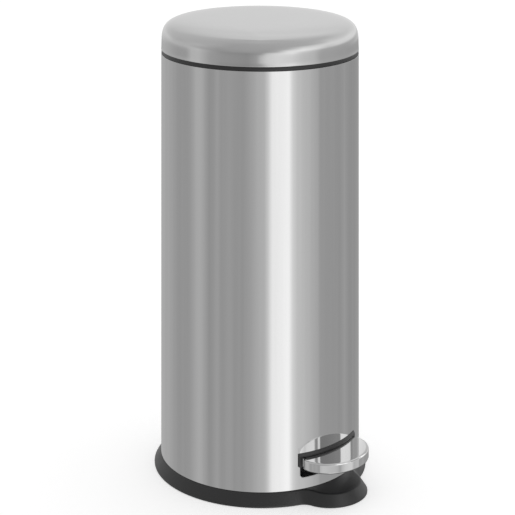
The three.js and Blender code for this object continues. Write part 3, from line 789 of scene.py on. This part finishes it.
TRIM_WINDOW = 52 * MM      # half the window's width
TRIM_LINTEL = 62.3 * MM    # the window's top
TRIM_PROUD = 2.6 * MM      # how far the lower lip stands off the body
TRIM_LIP = 0.8 * MM        # and the top edge


def build_trim():
    """The slot's frame: its lintel leans back from a thick lower lip to a thin top edge."""
    lowest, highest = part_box("pedal_trim")
    inner, outer = BODY_RADIUS + 0.05 * MM, BODY_RADIUS + TRIM_PROUD
    half, below, above, step = highest.x, lowest.z, highest.z + 1 * MM, 1 * MM
    right = [(TRIM_WINDOW, below - step, 0), (half - step, below, 0), (half, below + step, 0.6 * MM),
             (half, above, 0)]
    left = [(-x, z, radius) for x, z, radius in reversed(right)]
    lintel = [(-TRIM_WINDOW, TRIM_LINTEL, 0.8 * MM), (TRIM_WINDOW, TRIM_LINTEL, 0.8 * MM)]
    frame_cut = slab("trim_window", rounded(right + left + lintel, closed=True, steps=5), 1, *FRONT_CUT)
    section = rounded([(inner, below, 0), (outer, below, 0), (outer, TRIM_LINTEL + 2 * MM, 0.6 * MM),
                       (BODY_RADIUS + TRIM_LIP, highest.z, 0.4 * MM), (inner, highest.z, 0)],
                      closed=True, steps=4)
    trim = boolean(lathe("pedal_trim_frame", section, 384), [frame_cut], "INTERSECT")
    bevel(trim, 0.35 * MM, 2, 60)
    finish_piece(trim, BLACK, "bin", "pedal_trim", degrees=40)


# ---- bucket and bail ----

WALL_TILT = Vector((123.9 - 112, 605.9 - 82))   # the bucket's wall, as radius gained over height
TAPER_TOP = 605.9 * MM
BUCKET_TOP = high("inner_bucket").x - 13.1 * MM   # the wall's radius at TAPER_TOP
BUCKET_WALL = 2.2 * MM
BAIL_LEVEL = joint_place("bail_swing").z
BAIL_REACH = 108 * MM      # from the axis it swings on to the middle of its wire
BAIL_WIRE = 2 * MM         # radius


def bucket_radius(height):
    """The bucket's outer radius at a height. Its wall leans outwards on the way up."""
    return BUCKET_TOP - (TAPER_TOP - height) * WALL_TILT.x / WALL_TILT.y


def bucket_profile(lowest, highest):
    """Half the bucket's section: a foot, a tapered wall with three beads, and a rolled flange."""
    under, foot = highest.z - BUCKET_WALL, bucket_radius(lowest.z)
    outside = [(0, lowest.z + 2 * MM, 0), (foot - 14 * MM, lowest.z + 2 * MM, 1 * MM),
               (foot - 16 * MM, lowest.z, 1 * MM), (foot, lowest.z, 4 * MM)]
    for height in (440 * MM, 500 * MM, 535 * MM):
        near = bucket_radius(height)
        far = near + 1.2 * MM
        outside += [(near, height, 1 * MM), (far, height + 2 * MM, 1 * MM),
                    (far, height + 5 * MM, 1 * MM), (near, height + 7 * MM, 1 * MM)]
    outside += [(bucket_radius(under), under, 1.5 * MM), (highest.x, under, 1 * MM),
                (highest.x, highest.z, 1.2 * MM), (bucket_radius(under) - BUCKET_WALL, highest.z, 2 * MM)]
    floor = lowest.z + 2 * MM + BUCKET_WALL
    return rounded(outside + [(foot - BUCKET_WALL, floor, 5 * MM), (0, floor, 0)], steps=4)


def build_bucket():
    bucket = lathe("bucket_moulding", bucket_profile(*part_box("inner_bucket")))
    hole = pillar("bail_hole", BAIL_WIRE + GAP, -0.14, 0.14, 0, 24)
    boolean(bucket, [rear_cut("flange_notch", 14.5 * MM, 600 * MM, ABOVE_RING, front=125.6 * MM),
                     turned_to(hole, (1, 0, 0), (0, 0, BAIL_LEVEL))])
    inner_face = bucket_radius(BAIL_LEVEL) - BUCKET_WALL - 0.4 * MM
    for side in (-1, 1):
        boss = lathe("bail_boss", rounded([
            (2.4 * MM, 0, 0), (5 * MM, 0, 0.6 * MM), (6 * MM, BUCKET_WALL, 0), (2.4 * MM, BUCKET_WALL, 0)],
            closed=True, steps=3), SMALL_ROUND)
        join(bucket, turned_to(boss, (side, 0, 0), (side * inner_face, 0, BAIL_LEVEL)))
    finish_piece(bucket, BUCKET, "bin", "inner_bucket", degrees=40)


def hung(angle):
    """A point on the handle's wire, at an angle round its half circle."""
    return (BAIL_REACH * math.cos(angle), 0, BAIL_LEVEL + BAIL_REACH * math.sin(angle))


def build_bail():
    """A half circle of wire, with its ends bent out through the bucket's wall."""
    corner = 5 * MM
    elbow = -BAIL_REACH - corner
    start = [(-high("bail_wire").x, 0, BAIL_LEVEL), (elbow, 0, BAIL_LEVEL)]
    start += [(elbow + corner * math.sin(a), 0, BAIL_LEVEL - corner + corner * math.cos(a))
              for a in (math.radians(15 * i) for i in range(1, 7))]
    path = start + [hung(math.radians(-177 + 3 * i)) for i in range(59)]
    path += [(-x, 0, z) for x, _, z in reversed(start)]
    wire = tube("bail_bar", path, BAIL_WIRE, 20)
    finish_piece(wire, ZINC, "bail", "bail_wire", degrees=50)


def build_bail_grip():
    """The handle's grip: a sleeve with shallow ribs and a collar at each end."""
    half, steps, ribs = 0.45, 180, 22
    radii, centres = [], []
    for i in range(steps + 1):
        share = i / steps
        from_end = min(share, 1 - share)
        collar = 0.4 * MM if from_end < 0.04 else 0
        rib = 0.35 * MM * (0.5 + 0.5 * math.cos(share * 2 * math.pi * ribs)) if from_end > 0.07 else 0
        ending = 1.2 * MM * max(0, 1 - from_end / 0.012)
        radii.append(5.4 * MM + collar + rib - ending)
        centres.append(hung(FRONT - half + 2 * half * share))
    grip = tube("bail_sleeve", centres, radii, 28)
    finish_piece(grip, BLACK, "bail", "bail_grip", degrees=60)


# ---- hinge ----

HINGE = joint_place("lid_hinge")


def body_clearance(name):
    return pillar(name, BODY_RADIUS + GAP, 0.5, 0.7, 0, ROUND)


def hinge_solid(lowest, highest):
    """The hinge's housing: a plate on the body's back, and a block with a round top for the ears."""
    front, back = 130 * MM, highest.y
    plate_top, plate_side = 597 * MM, 20 * MM
    outline = rounded([(lowest.x, lowest.z, 6 * MM), (highest.x, lowest.z, 6 * MM),
                       (highest.x, plate_top, 5 * MM), (plate_side, plate_top + 0.5 * MM, 2 * MM),
                       (-plate_side, plate_top + 0.5 * MM, 2 * MM), (lowest.x, plate_top, 5 * MM)],
                      closed=True, steps=8)
    housing = slab("hinge_moulding", outline, 1, front, back)
    ear, foot = 7 * MM, 585 * MM
    side = [(front, foot), (back, foot), (back, HINGE.z)]
    side += arc(HINGE.y, HINGE.z, back - HINGE.y, ear, 0, math.pi, 24)[1:] + [(front, HINGE.z)]
    return boolean(housing, [slab("hinge_ears", side, 0, -plate_side, plate_side)], "UNION")


def build_hinge():
    """A moulded housing on the back, with its ears round the hinge pin."""
    housing = hinge_solid(*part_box("hinge_housing"))
    room = block("knuckle_room", (-12.3 * MM, 130 * MM, 592 * MM), (12.3 * MM, 170 * MM, 630 * MM))
    boolean(housing, [body_clearance("body_room"), room])
    bevel(housing, 0.9 * MM, 3, 40)
    cuts = [turned_to(pillar("hinge_bore", 2.8 * MM, -0.05, 0.05), (1, 0, 0), HINGE)]
    for i in range(4):
        place = middle(f"hinge_screw_{i + 1}")
        bore = pillar("screw_bore", 2.3 * MM, -0.03, 0.03, 0, 24)
        cuts.append(turned_to(bore, (0, 1, 0), (place.x, HINGE.y, place.z)))
    boolean(housing, cuts)
    finish_piece(housing, BLACK, "bin", "hinge_housing", degrees=35)

    lowest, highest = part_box("hinge_pin")
    pin = pillar("hinge_bar", (highest.z - lowest.z) / 2, -highest.x, highest.x, 0.8 * MM)
    finish_piece(turned_to(pin, (1, 0, 0), HINGE), ZINC, "bin", "hinge_pin")


# ---- fasteners ----


def pan_screw(name, node, axis, body, recess=True):
    """A pan-head screw or rivet in place of a node. The head is at the end that axis points away from."""
    lowest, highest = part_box(node)
    index = max(range(3), key=lambda i: abs(axis[i]))
    across = 1 if index == 0 else 0
    head = (highest[across] - lowest[across]) / 2
    length = highest[index] - lowest[index]
    height = head * 0.42
    shank = 1.5 * MM if head < 4.1 * MM else 2 * MM
    profile = rounded([(0, 0, 0), (head * 0.62, 0, 0.5 * MM), (head, height * 0.75, 0.5 * MM),
                       (head, height, 0), (shank, height, 0), (shank, length, 0.4 * MM),
                       (0, length, 0)], steps=4)
    screw = lathe(name, profile, SMALL_ROUND)
    if recess:
        long, wide, deep = head * 0.5, head * 0.13, height * 0.7
        boolean(screw, [block("slot_a", (-long, -wide, -1), (long, wide, deep)),
                        block("slot_b", (-wide, -long, -1), (wide, long, deep))])
    place = middle(node)
    place[index] = lowest[index] if axis[index] > 0 else highest[index]
    finish_piece(turned_to(screw, axis, place), ZINC, body, node, degrees=35)


def washer(name, node, bore, body):
    """A retaining clip on an X pin: a thin ring with an open mouth."""
    lowest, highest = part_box(node)
    radius, thick = (highest.z - lowest.z) / 2, highest.x - lowest.x
    ring = lathe(name, rounded([(bore, 0, 0.15 * MM), (radius, 0, 0.3 * MM), (radius, thick, 0.3 * MM),
                                (bore, thick, 0.15 * MM)], closed=True, steps=3), SMALL_ROUND)
    boolean(ring, [block("clip_mouth", (-bore * 0.75, -1, -1), (bore * 0.75, 0, 1))])
    place = middle(node)
    place.x = lowest.x
    finish_piece(turned_to(ring, (1, 0, 0), place), ZINC, body, node, degrees=35)


def build_fasteners():
    for i in range(4):
        pan_screw(f"hinge_pan_screw_{i + 1}", f"hinge_screw_{i + 1}", (0, -1, 0), "bin")
        pan_screw(f"base_pan_screw_{i + 1}", f"bracket_screw_{i + 1}", (0, 0, 1), "bin")
    for i in range(2):
        pan_screw(f"pedal_pan_screw_{i + 1}", f"pedal_screw_{i + 1}", (0, 0, 1), "pedal")
        pan_screw(f"lid_pan_screw_{i + 1}", f"lid_bracket_screw_{i + 1}", (0, 1, 0), "lid")
    for level in ("lower", "upper"):
        pan_screw(f"guide_pop_rivet_{level}", f"guide_rivet_{level}", (0, -1, 0), "bin", recess=False)
    for side in ("left", "right"):
        washer(f"axle_ring_{side}", f"axle_clip_{side}", 4.1 * MM, "bin")
    for end in ("top", "bottom"):
        washer(f"rod_ring_{end}", f"rod_clip_{end}", 2.1 * MM, "rod")


# ---- mechanism ----

ROD_RADIUS = 2 * MM


def build_rod():
    """The lift rod, with both its ends bent the same way into their slots. Gives the rod's place."""
    lowest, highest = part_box("lift_rod")
    x, y, end = lowest.x + ROD_RADIUS, (lowest.y + highest.y) / 2, highest.x
    bottom, top = lowest.z + ROD_RADIUS, highest.z - ROD_RADIUS
    bend = 3 * MM
    elbow = [(x + bend - bend * math.cos(a), y, bottom + bend - bend * math.sin(a))
             for a in (math.radians(15 * i) for i in range(7))]
    lower = [(end, y, bottom)] + list(reversed(elbow))
    path = lower + [(px, y, top + bottom - z) for px, _, z in reversed(lower)]
    rod = tube("lift_bar", path, ROD_RADIUS, 20)
    finish_piece(rod, ZINC, "rod", "lift_rod", degrees=50)
    return x, y


def build_axle():
    lowest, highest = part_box("pedal_axle")
    axle = pillar("axle_bar", (highest.z - lowest.z) / 2, -highest.x, highest.x, 0.6 * MM)
    turned_to(axle, (1, 0, 0), middle("pedal_axle"))
    finish_piece(axle, ZINC, "bin", "pedal_axle")


def build_rod_guide(node, rod_x, rod_y):
    """A moulded block against the inside of the wall, with a bore for the rod."""
    lowest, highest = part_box(node)
    bottom, top, behind = lowest.z - 10 * MM, highest.z + 10 * MM, 150 * MM
    outline = rounded([(lowest.x, lowest.y, 3 * MM), (highest.x, lowest.y, 3 * MM),
                       (highest.x, behind, 0), (lowest.x, behind, 0)], closed=True, steps=6)
    guide = slab(node + "_block", outline, 2, lowest.z, highest.z)
    boolean(guide, [pillar("guide_round", INSIDE, bottom, top, 0, ROUND)], "INTERSECT")
    bevel(guide, 0.6 * MM, 3, 40)
    bore = pillar("guide_bore", ROD_RADIUS + GAP, bottom, top, 0, 24)
    boolean(guide, [moved(bore, rod_x, rod_y)])
    finish_piece(guide, BLACK, "bin", node, degrees=40)


def build_mechanism():
    """The rod, its guides and the axle are drawn again. The stamped plates keep their own shapes."""
    rod_x, rod_y = build_rod()
    build_axle()
    for level in ("lower", "upper"):
        build_rod_guide(f"rod_guide_{level}", rod_x, rod_y)
    for node in ("lid_bracket", "pedal_lever", "pivot_bracket_left", "pivot_bracket_right"):
        for slot in bpy.data.objects[node].material_slots:
            slot.material = ZINC


# ---- camera and studio ----

CAMERA_BEARING = math.radians(-43.5)   # how far the pedal points to the right of the camera
TOWARDS = Vector((math.sin(CAMERA_BEARING), -math.cos(CAMERA_BEARING), 0))
RIGHT = Vector((math.cos(CAMERA_BEARING), math.sin(CAMERA_BEARING), 0))
UP = Vector((0, 0, 1))
CAMERA_DISTANCE = 2.44328
CAMERA_RIGHT = -0.042476
CAMERA_HEIGHT = 1.06356
AIM_RIGHT = 0.015916       # where the frame's middle looks, for each metre it looks ahead
AIM_UP = -0.313574
UPRIGHT_LENS = 116.18154   # the lens's distance from the upright plane, for a 36 mm sensor


def add_camera():
    """The picture plane is upright, as a view camera's is, and the frame looks well below the level.

    The lens is centred on the frame's middle, so the plane is leant against the line of sight by the
    camera's own parent rather than by shift.
    """
    centre_line = -TOWARDS + AIM_RIGHT * RIGHT + AIM_UP * UP
    holder = bpy.data.objects.new("camera_holder", None)
    data = bpy.data.cameras.new("camera")
    camera = bpy.data.objects.new("camera", data)
    for obj in (holder, camera):
        SCENE.collection.objects.link(obj)
    data.sensor_width = 36
    data.lens = UPRIGHT_LENS * centre_line.length
    data.clip_end = 100
    back = -centre_line.normalized()
    place = TOWARDS * CAMERA_DISTANCE + RIGHT * CAMERA_RIGHT + UP * CAMERA_HEIGHT
    camera.parent = holder
    camera.matrix_parent_inverse = Matrix((
        (RIGHT.x, UP.x, back.x, place.x), (RIGHT.y, UP.y, back.y, place.y),
        (RIGHT.z, UP.z, back.z, place.z), (0, 0, 0, 1)))
    SCENE.camera = camera


# The studio's light by elevation and then by bearing, both in degrees, as (bearing, level) stops. A bearing
# is 0 towards the camera and grows towards the picture's right. Low down, the walls light the body: a tall
# key softbox at 13 to 32, and weaker fills. Higher up, the key leans to the right, and the wall behind the
# bin is pale.
STUDIO = {
    -10: [(-180, .45), (-150, .55), (-132, .56), (-121, .52), (-112, .48), (-91, .48), (-85, .54),
        (-79, .63), (-72, .63), (-66, .53), (-61, .46), (-56, .48), (-51, .54), (-46, .48),
        (-36, .52), (-30, .48), (-20, .48), (-9, .59), (4, .71), (8, .9), (13, 1.36), (32, 1.44),
        (37, 1), (42, .84), (55, .73), (68, .62), (72, .5), (106, .46), (114, .5), (124, .43),
        (155, .4), (180, .45)],
    -8.4: [(-180, .75), (-140, .62), (-110, .5), (-95, .5), (-86, .7), (-76, .7), (-60, .5),
        (-45, .46), (-15, .42), (-5, .52), (0, .85), (6, 1), (20, 1.04), (35, .92), (50, .78),
        (64, .72), (72, .56), (120, .52), (180, .75)],
    -4: [(-180, .8), (-140, .76), (-100, .66), (-86, .72), (-76, .74), (-60, .53), (-45, .42),
        (-15, .38), (0, .48), (8, .9), (18, 1.1), (36, 1.25), (48, .95), (60, .82), (76, .6),
        (110, .58), (150, .65), (180, .8)],
    1: [(-180, .8), (-135, .85), (-120, .7), (-90, .68), (-70, .55), (-50, .46), (5, .5), (18, .65),
        (30, 1.15), (48, 1.3), (65, 1.15), (84, .88), (100, 1), (140, 1), (180, .8)],
    10: [(-180, .8), (-140, .74), (-110, .63), (-78, .68), (-50, .5), (10, .54), (30, .66),
        (50, 1.05), (130, 1.05), (160, .85), (180, .8)],
    22: [(-180, .82), (-140, .7), (-60, .6), (-35, .52), (10, .56), (60, .64), (78, .74), (92, .9),
        (150, .84), (180, .85)],
    45: [(-180, .92), (-150, .8), (-130, .7), (-30, .55), (60, .63), (112, .7), (155, .95),
        (180, .95)],
    75: [(-180, .9), (-140, .86), (-120, .72), (-60, .62), (0, .67), (60, .64), (120, .8),
        (150, .9), (180, .9)],
}


def add_world():
    """Lights the scene from STUDIO, blending its rows by elevation. The camera itself sees white."""
    world = bpy.data.worlds.new("studio")
    SCENE.world = world
    world.use_nodes = True
    tree = Tree(world.node_tree)
    background = world.node_tree.nodes["Background"]
    background.inputs["Color"].default_value = (1, 1, 1, 1)
    direction = tree.node("ShaderNodeTexCoord").outputs["Generated"]

    def along(axis):
        made = tree.node("ShaderNodeVectorMath", operation="DOT_PRODUCT")
        made.inputs[1].default_value = axis
        tree.link(direction, made.inputs[0])
        return made.outputs["Value"]

    height = along(UP)
    bearing = tree.calculate("ARCTAN2", along(RIGHT), along(TOWARDS))
    share = tree.calculate("MULTIPLY_ADD", bearing, 1 / (2 * math.pi), 0.5)
    elevations = sorted(STUDIO)
    level = tree.light_ramp(share, STUDIO[elevations[0]])
    for below, above in zip(elevations, elevations[1:]):
        rise = tree.ramp(height, 0, 1, math.sin(math.radians(below)), math.sin(math.radians(above)))
        level = tree.mixed(rise, level, tree.light_ramp(share, STUDIO[above]))
    seen = tree.node("ShaderNodeLightPath").outputs["Is Camera Ray"]
    tree.link(tree.mixed(seen, level, 1.0), background.inputs["Strength"])


# The light on the two cards, by the same bearings.
CANOPY_LIGHT = [(-180, 1.05), (30, 1.3), (42, 1.8), (47, 1.4), (49, 1.25), (51, 1.5), (61, 1.6),
    (62, .5), (65, .6), (65.5, 1.5), (68, 1.5), (68.5, .4), (85, .44), (100, .5), (101, 1.6),
    (122, 1.5), (123, .5), (127, .5), (130, .64), (143, .56), (150, .66), (166, .64), (169, 1.05),
    (180, 1.05)]
FENCE_LIGHT = [(-180, .6), (24, .6), (27, .8), (30, .72), (33.5, .68), (35, .5), (36, .52),
    (36.8, .78), (40, .9), (43, .9), (43.5, .62), (44.5, .62), (45.2, .7), (180, .64)]


def reflected_card(name, verts, faces, stops):
    """A card lit on its front face, for polished surfaces only. Its light changes with the bearing."""
    card = make(name, verts, faces)
    nodes = Nodes(name + "_light")
    split = nodes.node("ShaderNodeSeparateXYZ")
    nodes.link(nodes.place, split.inputs[0])
    bearing = nodes.calculate("ARCTAN2", split.outputs["X"], split.outputs["Y"])
    light = nodes.light_ramp(nodes.ramp(bearing, 0, 1, -math.pi, math.pi), stops)
    nodes.set("Base Color", (0, 0, 0, 1))
    nodes.set("Specular IOR Level", 0)
    nodes.link(light, nodes.shader.inputs["Emission Color"])
    nodes.set("Emission Strength", 1)
    mix = nodes.node("ShaderNodeMixShader")
    nodes.link(nodes.node("ShaderNodeNewGeometry").outputs["Backfacing"], mix.inputs[0])
    nodes.link(nodes.shader.outputs[0], mix.inputs[1])
    nodes.link(nodes.node("ShaderNodeBsdfTransparent").outputs[0], mix.inputs[2])
    nodes.link(mix.outputs[0], nodes.tree.nodes["Material Output"].inputs["Surface"])
    card.data.materials.append(nodes.material)
    card.visible_camera = False
    card.visible_diffuse = False
    card.visible_shadow = False
    card.matrix_world = Matrix(((RIGHT.x, TOWARDS.x, 0, 0), (RIGHT.y, TOWARDS.y, 0, 0),
                                (0, 0, 1, 0), (0, 0, 0, 1)))


def add_canopy():
    """A card at the lid's level, which the pedal's top sees from below."""
    spokes = [math.radians(30 + 4 * i) for i in range(41)]
    verts = [(r * math.sin(a), r * math.cos(a), 0.6) for a in spokes for r in (0.7, 2.2)]
    faces = [(2 * i, 2 * i + 1, 2 * i + 3, 2 * i + 2) for i in range(len(spokes) - 1)]
    reflected_card("canopy", verts, faces, CANOPY_LIGHT)


def add_fence():
    """A low grey card close round the pedal's left, which its rim sees instead of the key light."""
    away = 8 * MM
    path = arc(0, -PEDAL_CENTRE, PEDAL_HALF + away, PEDAL_DEPTH + away,
               math.radians(-152), math.radians(-78), 40)
    turned = [(x * RIGHT.x + y * RIGHT.y, x * TOWARDS.x + y * TOWARDS.y) for x, y in path]
    verts = [(x, y, z) for x, y in turned for z in (43 * MM, 58 * MM)]
    faces = [(2 * i, 2 * i + 2, 2 * i + 3, 2 * i + 1) for i in range(len(path) - 1)]
    reflected_card("fence", verts, faces, FENCE_LIGHT)


def add_floor():
    """Pale paper, lit a little from within so that it matches the white behind it."""
    reach = 9
    corners = [(-reach, -reach, 0), (reach, -reach, 0), (reach, reach, 0), (-reach, reach, 0)]
    floor = make("floor", corners, [(0, 1, 2, 3)])
    nodes = Nodes("floor_paper")
    nodes.set("Base Color", (0.82, 0.82, 0.82, 1))
    nodes.set("Roughness", 0.9)
    nodes.set("Specular IOR Level", 0.1)
    nodes.set("Emission Color", (1, 1, 1, 1))
    nodes.set("Emission Strength", 0.47)
    floor.data.materials.append(nodes.material)
    floor.visible_glossy = False


build_body()
build_slot_hem()
build_body_seam()
build_ring()
build_lid()
build_lid_liner()
build_lid_buffers()
build_base()
build_foot_pads()
build_pedal()
build_pedal_core()
build_trim()
build_bucket()
build_bail()
build_bail_grip()
build_hinge()
build_fasteners()
build_mechanism()
add_camera()
add_world()
add_canopy()
add_fence()
add_floor()
SCENE.view_settings.view_transform = "Standard"
